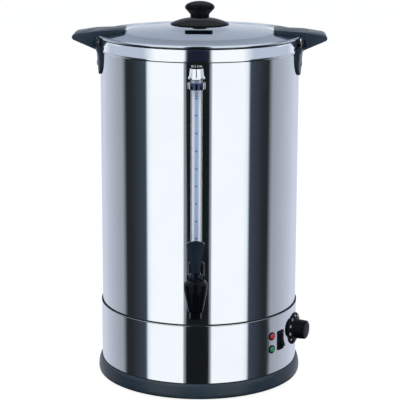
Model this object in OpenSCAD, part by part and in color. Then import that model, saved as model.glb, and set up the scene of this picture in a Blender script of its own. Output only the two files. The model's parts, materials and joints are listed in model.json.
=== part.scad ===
// Hot water urn: stainless body over an electrical housing, with tap, level gauge and twist-lock lid.
// Millimetres. Z is up, the floor is z = 0, the vertical axis of the body is the Z axis and the tap faces -Y.
// Azimuths are degrees from the front (-Y) towards +X.

/* [Body] */
// Outer diameter of the stainless body
body_d = 300; // [280:1:340]
// Thickness of the body sheet
body_wall = 1; // [0.8:0.1:1.6]
// Height of the body's open top above the floor
body_top = 524; // [480:1:600]
// Height of the vessel's inner floor
floor_top = 131; // [129:1:136]
// Thickness of the vessel's floor sheet
floor_t = 1.2; // [1:0.1:2]
// Height of the reinforcing band under the rim
band_h = 18.4; // [10:0.1:24]
// Thickness of the reinforcing band
band_t = 1.9; // [1:0.1:2.4]

/* [Housing and base] */
// Height of the seam where the lower housing ends
housing_top = 117; // [114:1:120]
// Thickness of the housing sheet
housing_t = 0.8; // [0.6:0.1:1.2]
// Height of the black base ring's upper edge
ring_top = 25.5; // [22:0.5:30]
// How far the base ring flares past the body
ring_flare = 7; // [4:0.5:12]
// How far the rubber feet stand below the base ring
foot_proud = 3; // [2:0.5:6]
// Distance of the feet's centres in from the body's face
foot_in = 28; // [22:1:40]
// Radius of a rubber foot
foot_r = 12; // [8:0.5:15]

/* [Lid] */
// Height of the lid's centre above the body's top
lid_rise = 12; // [10:0.5:20]
// Thickness of the lid sheet
lid_t = 0.9; // [0.6:0.1:1.2]
// Outer radius of the lid's rolled rim past the body
lid_overhang = 5.6; // [5:0.1:6]
// Diameter of the lid knob's head
knob_d = 45; // [36:1:50]
// Height of the lid knob above the lid's centre
knob_h = 41.5; // [38:0.5:46]
// Diameter of the saucer under the knob
saucer_d = 88.5; // [70:0.5:96]
// Width of the lid's sloping shoulder, from the body's face inward
shoulder_w = 38; // [32:1:46]
// Length of the steam vent
vent_l = 41; // [30:1:50]
// Distance of the steam vent from the lid's centre
vent_y = 57; // [56:1:70]

/* [Handles] */
// Width of a handle's grip, front to back
grip_w = 60; // [50:1:70]
// Reach of a handle past the body
handle_out = 41; // [37:0.5:50]
// Thickness of a lid ear's hook outside the lid's rim
hook_t = 3.6; // [3.2:0.1:4.2]
// Height of the handles' upper face above the body's top
handle_rise = 10; // [9:0.5:12]
// Depth of the finger recess behind a handle's outer edge
pocket_w = 17; // [14:0.5:20]
// Width of a handle's saddle on the body
saddle_w = 86; // [76:1:90]
// Corner radius at the saddle's lower edge
saddle_round = 22; // [10:1:30]
// Distance of the saddle's lower edge below the body's top
saddle_drop = 54.5; // [52:0.5:62]
// Thickness of the saddle at its lower edge
saddle_t = 3; // [2.5:0.1:4]

/* [Tap] */
// Height of the tap's shank above the floor
tap_z = 175; // [172:1:190]
// Distance of the spout from the body's face
tap_reach = 46; // [46:1:52]
// Radius of the tap body's shoulder
tap_r = 17; // [16:0.5:18]
// Radius of the shank through the wall
shank_r = 12; // [11:0.5:12.5]
// Outer radius of the spout
spout_r = 8.2; // [8:0.1:9]
// Bore radius of the spout
spout_bore_r = 6; // [5:0.1:6.4]
// Length of the tap lever above its pin
lever_l = 53.4; // [45:0.1:60]
// Width of the lever's paddle
lever_w = 25.8; // [22:0.1:30]
// Thickness of the lever's paddle
lever_t = 5; // [4:0.1:6]

/* [Level gauge] */
// Outer radius of the glass tube
tube_r = 8.15; // [7.5:0.05:8.3]
// Wall of the glass tube
tube_wall = 1.9; // [1.5:0.1:2.5]
// Distance of the gauge's axis from the body's face
gauge_out = 18; // [17.5:0.1:18.5]
// Height of the gauge bracket's underside below the body's top
bracket_drop = 53.4; // [50:0.1:70]
// Height of the gauge bracket
bracket_h = 9.5; // [8:0.1:11]

/* [Controls] */
// Azimuth of the two pilot lamps
lamp_az = 47.5; // [44:0.5:48]
// Height of the red lamp
red_z = 85.5; // [84:0.5:90]
// Height of the green lamp
green_z = 65; // [60:0.5:68]
// Bezel radius of a lamp
lamp_r = 6.4; // [5.5:0.1:7]
// Azimuth of the rocker switch
switch_az = 55.3; // [55:0.1:56]
// Height of the rocker switch
switch_z = 75; // [70:0.5:80]
// Width of the switch bezel
switch_w = 15; // [13:0.5:16]
// Height of the switch bezel
switch_h = 30; // [28:0.5:34]
// Azimuth of the thermostat dial
dial_az = 66.5; // [66:0.5:70]
// Height of the thermostat dial
dial_z = 86.3; // [80:0.1:88]
// Radius of the dial's numbered disc
disc_r = 24.5; // [20:0.5:25]
// Radius of the dial's grip
grip_r = 15; // [12:0.5:17]
// Length of the dial from its disc to its end
dial_l = 22; // [18:0.5:32]

/* [Hidden] */
$fn = 96;

e = 0.1;                    // overshoot of cutters
fit = 0.06;                 // radial clearance of a running fit
gap = 0.2;                  // seat clearance between neighbouring pieces
loose = 0.3;                // clearance between moving faces

body_r = body_d / 2;
body_ir = body_r - body_wall;
band_r = body_r + band_t;
housing_r = body_r + 1.5;
housing_ir = housing_r - housing_t;
skirt_low = housing_top - 5;
support_h = 2.9;

plate_z = foot_proud + 5;   // underside of the base plate
plate_t = 1.5;
plate_r = body_r - 4.2;
shelf_z = plate_z + 9;      // seat of the housing in the base ring
foot_circle_r = body_r - foot_in;

seal_t = 1.2;
lid_low = body_top + seal_t + 2 * gap;
bead_r = 2.2;
lid_r = body_r + lid_overhang;
crown_r = body_r - shoulder_w;
crown_z = body_top + 8.3;
lid_top = body_top + lid_rise;
crown_sag = lid_top - crown_z;
crown_arc_r = (crown_r * crown_r + crown_sag * crown_sag) / (2 * crown_sag);
bead_c = [lid_r - bead_r, lid_low + bead_r];
bead_open = 20;             // the lid's sheet runs into its bead at this angle above level
rim_in = bead_c + bead_r * [-cos(bead_open), sin(bead_open)];
hook_r = lid_r + 0.9;       // inner face of the lid ears' hooks
seam_r = hook_r + hook_t + loose;
handle_reach = body_r + handle_out;

tap_y = -(body_r + tap_reach);
gauge_y = -(body_r + gauge_out);
tap_shoulder = tap_z + 19.7;
tap_foot = tap_z - 22.8;
spout_tip = tap_z - 33;
pin_z = tap_shoulder + 8.3;
pin_r = 2;
stem_r = 3.2;
chamber_r = 10.5;
seat_z = tap_z - 15;
stem_lift = 4;

bracket_z = body_top - bracket_drop;
cap_z = bracket_z + bracket_h + 4.7;
tube_low = tap_z + 12;
tube_top = cap_z + 6;

// Places a child on a wall: its X runs round the wall, its Y up and its Z outward from radius r.
module on_wall(az, z, r) {
    rotate([0, 0, az]) translate([0, -r, z]) rotate([90, 0, 0]) children();
}

module ring(ro, ri, h) {
    difference() {
        cylinder(r = ro, h = h);
        translate([0, 0, -e]) cylinder(r = ri, h = h + 2 * e);
    }
}

module round_rect(w, h, r) {
    union() {
        square([w - 2 * r, h], center = true);
        square([w, h - 2 * r], center = true);
        for (x = [-1, 1], y = [-1, 1]) translate([x * (w / 2 - r), y * (h / 2 - r)]) circle(r);
    }
}

// Pan-head screw along Z: its shank hangs below z = 0 and its head stands above.
module screw(thread_r, head_r, head_h, length) {
    difference() {
        union() {
            translate([0, 0, -length]) cylinder(r = thread_r, h = length);
            cylinder(r = head_r, h = head_h * 0.6);
            translate([0, 0, head_h * 0.6]) cylinder(r1 = head_r, r2 = head_r * 0.6, h = head_h * 0.4);
        }
        for (a = [0, 90]) rotate([0, 0, a]) translate([0, 0, head_h])
            cube([head_r * 1.1, 0.9, head_h * 0.9], center = true);
    }
}

module hex_nut(across, bore, h) {
    difference() {
        cylinder(d = across / cos(30), h = h, $fn = 6);
        translate([0, 0, -e]) cylinder(r = bore, h = h + 2 * e);
    }
}

// Round lead along a route: points are joined by a smooth curve, with a ring of sides at each step.
wire_sides = 6;
wire_steps = 4;

function curve(a, b, c, d, t) = 0.5 * (2 * b + (c - a) * t + (2 * a - 5 * b + 4 * c - d) * t * t
    + (3 * b - a - 3 * c + d) * t * t * t);

function route(p) = let (n = len(p) - 1) concat([for (i = [0:n - 1], j = [0:wire_steps - 1])
    curve(p[max(i - 1, 0)], p[i], p[i + 1], p[min(i + 2, n)], j / wire_steps)], [p[n]]);

function unit(v) = v / norm(v);

module wire(points, r) {
    line = route(points);
    last = len(line) - 1;
    rings = [for (i = [0:last])
        let (d = unit(line[min(i + 1, last)] - line[max(i - 1, 0)]),
            side = unit(cross(d, abs(d[2]) > 0.9 ? [1, 0.2, 0] : [0, 0.2, 1])), up = cross(side, d))
        for (j = [0:wire_sides - 1]) line[i] + r * (cos(60 * j) * side + sin(60 * j) * up)];
    tube_solid(rings, last, wire_sides);
}

// Closed solid over last + 1 rings of sides points each.
module tube_solid(points, last, sides) {
    polyhedron(points = points, faces = concat([[for (j = [0:sides - 1]) j]],
        [for (i = [0:last - 1], j = [0:sides - 1]) let (k = (j + 1) % sides)
            for (f = [[i * sides + j, (i + 1) * sides + j, (i + 1) * sides + k],
                [i * sides + j, (i + 1) * sides + k, i * sides + k]]) f],
        [[for (j = [sides - 1:-1:0]) last * sides + j]]));
}

// Height of the lid's outer face at radius r.
function lid_z(r) = r <= crown_r
    ? lid_top - (crown_arc_r - sqrt(crown_arc_r * crown_arc_r - r * r))
    : crown_z - (crown_z - rim_in[1]) * sin(90 * (r - crown_r) / (rim_in[0] - crown_r));

lid_steps = 24;
lid_line = [for (i = [0:lid_steps]) let (r = rim_in[0] * i / lid_steps) [r, lid_z(r)]];
bead_line = [for (a = [180 - bead_open:-18:-90]) bead_c + bead_r * [cos(a), sin(a)]];

// Everything under the lid's outer face, raised by up, to trim what stands on it.
module lid_shadow(up) {
    rotate_extrude() polygon(concat([[0, body_top]], [for (p = lid_line) [p[0], p[1] + up]],
        [for (a = [140:-20:0]) bead_c + (bead_r + up) * [cos(a), sin(a)]], [[lid_r + up, body_top]]));
}

/* vessel and housing */

handle_bolt_az = 7.6;
handle_bolt_z = body_top - 37;
handle_bolt_r = 2.4;

module handle_bolts() {
    for (side = [-90, 90], s = [-1, 1]) on_wall(side + s * handle_bolt_az, handle_bolt_z, 0) children();
}

module vessel() {
    corner = 10;
    color("#c9ced6") difference() {
        rotate_extrude($fn = 180) union() {
            translate([body_ir, skirt_low]) square([body_wall, body_top - skirt_low]);
            translate([0, floor_top - floor_t]) square([body_ir + e, floor_t]);
            difference() {
                translate([body_ir - corner, floor_top - e]) square([corner + e, corner + e]);
                translate([body_ir - corner, floor_top + corner]) circle(corner);
            }
        }
        on_wall(0, tap_z, body_r - 10) cylinder(r = shank_r + gap, h = 20);
        on_wall(0, bracket_z + bracket_h / 2, body_r - 10) cylinder(r = 2.7, h = 20);
        handle_bolts() translate([0, 0, body_r - 10]) cylinder(r = handle_bolt_r + gap, h = 20);
    }
}

module rim_band() {
    color("#d5dae1") translate([0, 0, body_top - band_h]) ring(band_r, body_r + fit, band_h);
}

module housing() {
    color("#c4cad2") difference() {
        translate([0, 0, shelf_z + gap]) ring(housing_r, housing_ir, housing_top - shelf_z - gap);
        for (z = [red_z, green_z]) on_wall(lamp_az, z, body_r - 15) cylinder(r = lamp_body_r + gap, h = 25);
        on_wall(switch_az, switch_z, body_r - 15) translate([0, 0, 12])
            cube([switch_in_w + 2 * gap, switch_in_h + 2 * gap, 25], center = true);
        on_wall(dial_az, dial_z, body_r - 15) cylinder(r = neck_r + gap, h = 25);
        on_wall(180, gland_z, body_r - 15) cylinder(r = gland_r + gap, h = 25);
    }
}

module support_ring() {
    color("#9aa0a8") translate([0, 0, skirt_low - support_h - gap]) ring(housing_ir - gap, body_ir - 5, support_h);
}

/* base */

base_screw_n = 6;
base_screw_r = 1.6;
base_screw_at = plate_r - 3.8;

module base_screw_places() {
    for (i = [0:base_screw_n - 1]) rotate([0, 0, 30 + i * 360 / base_screw_n]) translate([base_screw_at, 0, 0]) children();
}

module base_ring() {
    low = foot_proud;
    wide = body_r + ring_flare;
    inner = body_r - 12;
    step_z = plate_z + plate_t + gap / 2;
    foot_rise = 6;          // height of the ring's widest point above its lower edge
    neck = housing_r + 0.4; // outer radius of its upper edge
    color("#2b333c") difference() {
        rotate_extrude($fn = 180) polygon(concat(
            [[plate_r + gap, low], [wide - 2.6, low]],
            [for (i = [0:8]) let (a = 90 * i / 8) [wide - 2.6 * (1 - sin(a)), low + foot_rise * (1 - cos(a))]],
            [for (i = [1:10]) let (a = 90 * i / 10) [wide - (wide - neck) * (1 - cos(a)),
                low + foot_rise + (ring_top - low - foot_rise) * sin(a)]],
            [[housing_r + gap, ring_top], [housing_r + gap, shelf_z], [inner, shelf_z], [inner, step_z],
                [plate_r + gap, step_z]]));
        base_screw_places() translate([0, 0, step_z - e]) cylinder(r = base_screw_r + fit / 2, h = 6 + e);
    }
}

module base_plate() {
    color("#8f969e") difference() {
        translate([0, 0, plate_z]) cylinder(r = plate_r, h = plate_t);
        translate([0, 0, plate_z - e]) cylinder(r = rod_r + gap, h = plate_t + 2 * e);
        for (a = [45:90:315]) rotate([0, 0, a]) translate([foot_circle_r, 0, plate_z - e])
            cylinder(r = foot_stem_r + gap, h = plate_t + 2 * e);
        translate([cutout_at[0], cutout_at[1], plate_z - e]) cylinder(r = button_r + 1, h = plate_t + 2 * e);
        for (a = [0:60:300]) rotate([0, 0, a]) for (r = [60, 72, 84]) translate([r, 0, plate_z - e])
            cylinder(r = 3, h = plate_t + 2 * e);
        base_screw_places() translate([0, 0, plate_z - e]) cylinder(r = base_screw_r + gap, h = plate_t + 2 * e);
    }
}

foot_stem_r = 4;

module rubber_feet() {
    color("#1b1c1f") for (a = [45:90:315]) rotate([0, 0, a]) translate([foot_circle_r, 0, 0]) {
        difference() {
            union() {
                cylinder(r1 = foot_r - 1, r2 = foot_r, h = 1);
                translate([0, 0, 1]) cylinder(r = foot_r, h = plate_z - 1 - gap / 2);
            }
            translate([0, 0, -e]) cylinder(r = 3, h = 2);
        }
        translate([0, 0, plate_z - gap / 2 - e]) cylinder(r = foot_stem_r, h = plate_t + gap + e);
        translate([0, 0, plate_z + plate_t + gap / 2]) cylinder(r1 = foot_stem_r + 1.2, r2 = 2.5, h = 4);
    }
}

// Self-tapping screws through the plate into the ring.
module base_screws() {
    color("#7f858c") base_screw_places() translate([0, 0, plate_z - gap / 2]) mirror([0, 0, 1])
        screw(base_screw_r, 3.4, 2.2, plate_t + 5);
}

rod_r = 4;
rod_low = plate_z - 3.5;

module tie_rod() {
    color("#a7adb5") translate([0, 0, rod_low - 1]) cylinder(r = rod_r, h = floor_top - floor_t - rod_low + 1);
}

module tie_nut() {
    color("#a7adb5") translate([0, 0, rod_low]) hex_nut(13, rod_r + fit, plate_z - rod_low - gap / 2);
}

/* heating */

heater_r = 70;
heater_tube_r = 4.2;
heater_plate_t = 6;
heater_plate_z = floor_top - floor_t - gap - heater_plate_t;
tube_c = heater_plate_z - heater_tube_r - gap / 2;

module heater_plate() {
    color("#b9bec4") translate([0, 0, heater_plate_z]) ring(heater_r + 25, rod_r + 1, heater_plate_t);
}

heater_open = 24;           // angle between the heater's two ends, at the back left
leg_at = heater_open / 2 + 5;

module heater_tube() {
    color("#6d5a4f") translate([0, 0, tube_c]) {
        rotate([0, 0, 180 + heater_open / 2]) rotate_extrude(angle = 360 - heater_open)
            translate([heater_r, 0]) circle(heater_tube_r, $fn = 48);
        for (s = [-1, 1]) rotate([0, 0, 180 + s * leg_at]) translate([heater_r, 0, 0]) {
            translate([0, 0, -22]) cylinder(r = heater_tube_r - 0.8, h = 22);
            translate([0, 0, -34]) cylinder(r = 1.6, h = 13, $fn = 24);
        }
    }
}

cutout_at = [55, -52];
button_r = 3.5;
cutout_z = plate_z + plate_t + gap / 2;
button_travel = 2;

module cutout_body() {
    color("#d9d4c8") translate([cutout_at[0], cutout_at[1], 0]) difference() {
        union() {
            translate([0, 0, cutout_z]) cylinder(r = 13, h = 16);
            translate([-18, -5, cutout_z]) cube([36, 10, 1.5]);
            for (x = [-6, 6]) translate([x - 3, -0.5, cutout_z + 16 - e]) cube([6, 1, 8 + e]);
        }
        translate([0, 0, cutout_z - e]) cylinder(r = button_r + fit, h = 10 + e);
        for (x = [-1, 1]) translate([15.5 * x, 0, cutout_z - e]) cylinder(r = 1.6, h = 3);
    }
}

module reset_button() {
    color("#c1272d") translate([cutout_at[0], cutout_at[1], plate_z - 2.5])
        cylinder(r = button_r, h = cutout_z + 10 - button_travel - gap - plate_z + 2.5);
}

/* thermostat */

shaft_r = 3;
neck_r = 5;
stat_r = 16;
stat_face = body_r - 4;

module thermostat_body() {
    color("#c9b48a") on_wall(dial_az, dial_z, 0) difference() {
        union() {
            translate([0, 0, stat_face - 22]) cylinder(r = stat_r, h = 22);
            translate([0, 0, stat_face - e]) cylinder(r = neck_r, h = 4.5);
            for (s = [-1, 1]) translate([s * 6 - 3, stat_r - 3, stat_face - 29]) cube([6, 1, 8]);
        }
        translate([0, 0, stat_face - 8]) cylinder(r = shaft_r + fit, h = 14);
    }
}

module thermostat_shaft() {
    color("#b8bcc2") on_wall(dial_az, dial_z, 0) translate([0, 0, stat_face - 7.5])
        cylinder(r = shaft_r, h = housing_r - stat_face + 7.5 + 18);
}

bulb_r = 3;
bulb_at = [heater_r + 36, 20, floor_top - floor_t - gap - bulb_r];
stat_back = [(stat_face - 22) * sin(dial_az), -(stat_face - 22) * cos(dial_az), dial_z];

// The bulb lies under the vessel's floor and its capillary runs down to the back of the thermostat.
module sensor_bulb() {
    color("#c77b4a") translate(bulb_at) rotate([-90, 0, 0]) cylinder(r = bulb_r, h = 60, $fn = 48);
}

module capillary() {
    color("#c77b4a") wire([bulb_at - [0, gap, 0], bulb_at + [0, -12, -2], bulb_at + [-8, -26, -16],
        stat_back * 0.86 + [0, 0, 15], [stat_back[0] * 0.93, stat_back[1] * 0.93, dial_z + 3],
        [stat_back[0] * 0.998, stat_back[1] * 0.998, dial_z + 3]], 0.9);
}

/* controls on the wall of the housing */

disc_z = 7;                 // the dial's disc stands this far off the housing
disc_t = 1.6;

module dial_collar() {
    color("#20242a") on_wall(dial_az, dial_z, 0) difference() {
        translate([0, 0, housing_r - 2]) cylinder(r = 14.5, h = disc_z + 1.5);
        translate([0, 0, housing_r - 3]) cylinder(r = neck_r + gap, h = disc_z + 4);
        on_housing_cutter();
    }
}

// The round wall of the housing, seen from a piece placed on it, to trim what sits on the sheet.
module on_housing_cutter() {
    rotate([-90, 0, 0]) translate([0, 0, -60]) cylinder(r = housing_r + gap / 2, h = 120, $fn = 180);
}

module dial_knob() {
    color("#15181c") on_wall(dial_az, dial_z, housing_r + disc_z) difference() {
        union() {
            cylinder(r = disc_r, h = disc_t);
            translate([0, 0, disc_t - e]) cylinder(r1 = disc_r - 0.6, r2 = grip_r + 1, h = 3.4 + e);
            translate([0, 0, disc_t]) cylinder(r1 = grip_r, r2 = grip_r - 0.8, h = dial_l - disc_t - 1.5);
            translate([0, 0, dial_l - 1.5 - e]) cylinder(r1 = grip_r - 0.8, r2 = grip_r - 2.2, h = 1.5 + e);
        }
        translate([0, 0, -e]) cylinder(r = shaft_r + fit / 2, h = 13);
        translate([0, 0, -e]) ring(disc_r - 3, shaft_r + 4, 1);
    }
}

switch_in_w = 11.5;
switch_in_h = 26;
rocker_w = 9.4;
rocker_h = 20.4;
rocker_tilt = 9;
rocker_pin_r = 1.5;
bezel_t = 2;
rocker_axis = housing_r + 0.6;

module switch_body() {
    color("#14171b") on_wall(switch_az, switch_z, 0) difference() {
        union() {
            difference() {
                translate([0, 0, housing_r - 2]) linear_extrude(bezel_t + 2.6) round_rect(switch_w, switch_h, 1.4);
                on_housing_cutter();
            }
            translate([0, 0, housing_r - 10]) cube([switch_in_w, switch_in_h, 24], center = true);
            for (y = [-8, 0, 8]) translate([-2.4, y - 0.4, housing_r - 30]) cube([4.8, 0.8, 9]);
        }
        translate([0, 0, housing_r - 4]) linear_extrude(12)
            square([rocker_w + 2 * loose, rocker_h + 2 * loose + 1.6], center = true);
        translate([0, 0, rocker_axis]) rotate([0, 90, 0])
            cylinder(r = rocker_pin_r + fit, h = rocker_w + 3, center = true, $fn = 48);
    }
}

// The rocker's two faces meet at its middle, and it rests tilted with one end proud.
module switch_rocker() {
    color("#1d2126") on_wall(switch_az, switch_z, rocker_axis) rotate([-rocker_tilt, 0, 0]) union() {
        rotate([0, -90, 0]) linear_extrude(rocker_w, center = true)
            polygon([[-2.2, -4], [-2.2, 4], [1.6, rocker_h / 2], [5.4, rocker_h / 2], [4, 0],
                [5.4, -rocker_h / 2], [1.6, -rocker_h / 2]]);
        rotate([0, 90, 0]) cylinder(r = rocker_pin_r, h = rocker_w + 2, center = true, $fn = 48);
    }
}

lamp_body_r = 4.6;
lens_r = 4.4;

module lamp_bezels() {
    color("#20242a") for (z = [red_z, green_z]) on_wall(lamp_az, z, 0) difference() {
        union() {
            difference() {
                translate([0, 0, housing_r - 2]) cylinder(r = lamp_r, h = 4);
                on_housing_cutter();
            }
            translate([0, 0, housing_r - 22]) cylinder(r = lamp_body_r, h = 23);
            for (x = [-2, 2]) translate([x - 1.2, -0.3, housing_r - 29]) cube([2.4, 0.6, 7.5]);
        }
        translate([0, 0, housing_r - 6]) cylinder(r = lens_r - 0.8 + gap / 2, h = 10);
        translate([0, 0, housing_r + 0.6]) cylinder(r = lens_r + gap / 2, h = 4);
    }
}

module lens(z) {
    on_wall(lamp_az, z, housing_r) {
        translate([0, 0, -5]) cylinder(r = lens_r - 0.8, h = 5.7);
        translate([0, 0, 0.7]) cylinder(r = lens_r, h = 1.8);
        translate([0, 0, 2.5 - e]) cylinder(r1 = lens_r, r2 = lens_r - 1.4, h = 1.3);
    }
}

module red_lens() {
    color("#c8202c") lens(red_z);
}

module green_lens() {
    color("#0d8f5a") lens(green_z);
}

/* supply */

gland_z = 48;
gland_r = 8;
gland_bore = 4.2;
block_at = [-62, 44];
block_h = 14;
block_z = plate_z + plate_t + gap / 2;

module terminal_block() {
    color("#e8e6df") difference() {
        translate([block_at[0] - 18, block_at[1] - 9, block_z]) cube([36, 18, block_h]);
        for (x = [-12, 0, 12]) {
            translate([block_at[0] + x, block_at[1], block_z + 7]) cylinder(r = 2.6, h = 8);
            translate([block_at[0] + x, block_at[1] - 10, block_z + 6]) rotate([-90, 0, 0])
                cylinder(r = 1.9, h = 20, $fn = 24);
        }
    }
}

module cable_gland() {
    color("#1b1c1f") on_wall(180, gland_z, 0) difference() {
        union() {
            translate([0, 0, housing_r - 9]) cylinder(r = gland_r, h = 12);
            difference() {
                translate([0, 0, housing_r - 2]) cylinder(r = gland_r + 3, h = 5.5);
                on_housing_cutter();
            }
            translate([0, 0, housing_r - 9]) cylinder(r1 = gland_r, r2 = gland_r + 1.2, h = 7);
        }
        translate([0, 0, housing_r - 10]) cylinder(r = gland_bore, h = 20);
    }
}

wire_r = 1.1;
heater_end_z = tube_c - 34;

// Leads from the supply block to the heater's ends and the cut-out: each starts straight up out of the block.
module wiring() {
    up = block_z + block_h;
    end_x = -heater_r * cos(leg_at);
    end_y = heater_r * sin(leg_at);
    color("#b5552c") wire(concat(block_exit(-12), [[block_at[0] - 12, block_at[1], up + 12],
        [end_x, end_y + 5, heater_end_z - 14], [end_x, end_y, heater_end_z - wire_r]]), wire_r);
    color("#3e6fa8") wire(concat(block_exit(0), [[block_at[0], block_at[1], up + 8],
        [end_x, -end_y - 5, heater_end_z - 22], [end_x, -end_y, heater_end_z - wire_r]]), wire_r);
    color("#d8c23a") wire(concat(block_exit(12), [[block_at[0] + 12, block_at[1], up + 6], [30, 10, up + 10],
        [cutout_at[0] + 6, cutout_at[1] + 12, cutout_z + 32],
        [cutout_at[0] + 6, cutout_at[1], cutout_z + 24 + wire_r]]), wire_r);
}

function block_exit(x) = [for (z = [block_z + 7.2, block_z + block_h + 1]) [block_at[0] + x, block_at[1], z]];

/* tap */

nut_t = 7;
washer_t = 2.6;

module tap_body() {
    shank_in = body_ir - 16;
    color("#12161b") difference() {
        union() {
            on_wall(0, tap_z, shank_in) cylinder(r = shank_r, h = tap_reach + body_r - shank_in - 4);
            on_wall(0, tap_z, body_r + washer_t + gap) cylinder(r = shank_r + 4, h = 3);
            translate([0, tap_y, 0]) rotate_extrude() polygon([[0, spout_tip], [spout_r, spout_tip],
                [spout_r, tap_foot], [spout_r + 2.5, tap_foot + 0.4], [tap_r, tap_shoulder - 9],
                [tap_r, tap_shoulder], [0, tap_shoulder]]);
            translate([0, gauge_y, tap_z]) cylinder(r = branch_r, h = branch_h);
            translate([0, gauge_y, tap_z + branch_h - e]) cylinder(r = branch_r - 1.7, h = 12 + e);
        }
        on_wall(0, tap_z, shank_in - e) cylinder(r = shank_r - 4, h = tap_reach + body_r - shank_in - 4);
        translate([0, tap_y, seat_z]) cylinder(r = chamber_r, h = 60);
        translate([0, tap_y, spout_tip - e]) cylinder(r = spout_bore_r, h = 60);
        translate([0, gauge_y, tap_z]) cylinder(r = 5, h = 60);
        translate([0, gauge_y, tube_low - gap]) cylinder(r = tube_r + gap, h = 60);
    }
}

branch_r = 11.3;            // the tap's upward branch, which the gauge stands in
branch_h = 21;

module gauge_nut() {
    color("#161a1f") translate([0, gauge_y, tap_z + branch_h + gap]) difference() {
        union() {
            cylinder(r = branch_r + 0.4, h = 20);
            for (a = [0:30:330]) rotate([0, 0, a]) translate([branch_r, 0, 2]) cylinder(r = 0.9, h = 14, $fn = 16);
            translate([0, 0, 20 - e]) cylinder(r1 = branch_r + 0.4, r2 = tube_r + 1.2, h = 3);
        }
        translate([0, 0, -e]) cylinder(r = branch_r - 1.7 + fit, h = 17 + e);
        translate([0, 0, -e]) cylinder(r = tube_r + gap, h = 30);
    }
}

module gauge_tube() {
    color("#dfe8f2", 0.4) translate([0, gauge_y, tube_low]) ring(tube_r, tube_r - tube_wall, tube_top - tube_low);
}

// Rubber rings round the tube: in the lower nut, in the bracket and under the cap.
module gauge_seals() {
    color("#2a2c2f") translate([0, gauge_y, 0]) {
        translate([0, 0, tap_z + branch_h + 12.2]) ring(branch_r - 1.8, tube_r + gap / 4, 4);
        translate([0, 0, bracket_z + 2]) ring(tube_r + 0.85, tube_r + gap / 4, bracket_h - 4);
        translate([0, 0, tube_top + gap / 4]) ring(tube_r - 0.2, tube_r - tube_wall, 1.4);
    }
}

bracket_r = 12.5;
bracket_back = body_r + 4;

module gauge_bracket() {
    mid = bracket_z + bracket_h / 2;
    color("#d3d8de") difference() {
        union() {
            translate([0, gauge_y, bracket_z]) cylinder(r = tube_r + 2, h = bracket_h);
            for (x = [-1, 1]) translate([x * (bracket_r - 0.7) - 0.7, gauge_y - 3, bracket_z + 0.6])
                cube([1.4, -bracket_back - gauge_y + 3 + e, bracket_h - 1.2]);
            translate([-bracket_r, -bracket_back - 2.4, bracket_z + 0.6]) cube([2 * bracket_r, 2.4, bracket_h - 1.2]);
            translate([-5, gauge_y, mid - 3]) cube([10, -bracket_back - gauge_y, 6]);
            translate([-7, -bracket_back, bracket_z + 0.6]) cube([14, 4, bracket_h - 1.2]);
        }
        translate([0, gauge_y, bracket_z - e]) cylinder(r = tube_r + gap, h = bracket_h + 2 * e);
        translate([0, gauge_y, bracket_z + 1.9]) cylinder(r = tube_r + 1, h = bracket_h - 3.8);
        translate([0, 0, bracket_z - e]) cylinder(r = body_r + gap, h = bracket_h + 2 * e, $fn = 180);
    }
    color("#d3d8de") on_wall(0, mid, body_r - 9) cylinder(r = 2.5, h = 11, $fn = 32);
}

module bracket_nut() {
    color("#a7adb5") on_wall(0, bracket_z + bracket_h / 2, body_r - 7) hex_nut(8, 2.5 + fit, 5);
}

module gauge_cap() {
    color("#dfe3e8") translate([0, gauge_y, 0]) difference() {
        union() {
            translate([0, 0, cap_z]) cylinder(r1 = 9.4, r2 = 11.1, h = 2.6);
            translate([0, 0, cap_z + 2.6 - e]) cylinder(r = 11.1, h = 1.4);
            translate([0, 0, cap_z + 4 - 2 * e]) cylinder(r1 = 11.1, r2 = 9.8, h = 1.9);
            translate([0, 0, cap_z + 5.6]) cylinder(r = 9.9, h = 10.6, $fn = 8);
            translate([0, 0, cap_z + 16.1]) cylinder(r1 = 8.8, r2 = 7.4, h = 2.2);
            translate([0, 0, cap_z + 18.2]) cylinder(r = 7.2, h = 2.1);
        }
        translate([0, 0, cap_z - e]) cylinder(r = tube_r + gap / 2, h = tube_top - cap_z + 1.6 + e);
        translate([0, 0, cap_z]) cylinder(r = 2, h = 14);
    }
}

// Washers either side of the wall: round against it and flat on the outside.
module tap_washers() {
    color("#b7bcc2") difference() {
        on_wall(0, tap_z, body_r - 5) ring(shank_r + 4, shank_r + gap / 2, washer_t + 5);
        translate([0, 0, tap_z - 30]) cylinder(r = body_r + gap / 2, h = 60, $fn = 180);
    }
    color("#b7bcc2") intersection() {
        on_wall(0, tap_z, body_ir - washer_t) ring(shank_r + 4, shank_r + gap / 2, 6);
        translate([0, 0, tap_z - 30]) cylinder(r = body_ir - gap / 2, h = 60, $fn = 180);
    }
}

module tap_nut() {
    color("#e4e6e8") on_wall(0, tap_z, body_ir - washer_t - gap - nut_t) hex_nut(2 * shank_r + 10, shank_r + fit, nut_t);
}

ear_in = 9.9;
ear_t = 2.5;

bonnet_r = min(tap_r - 0.4, tap_reach - gauge_out - branch_r - 0.4 - loose);

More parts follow.
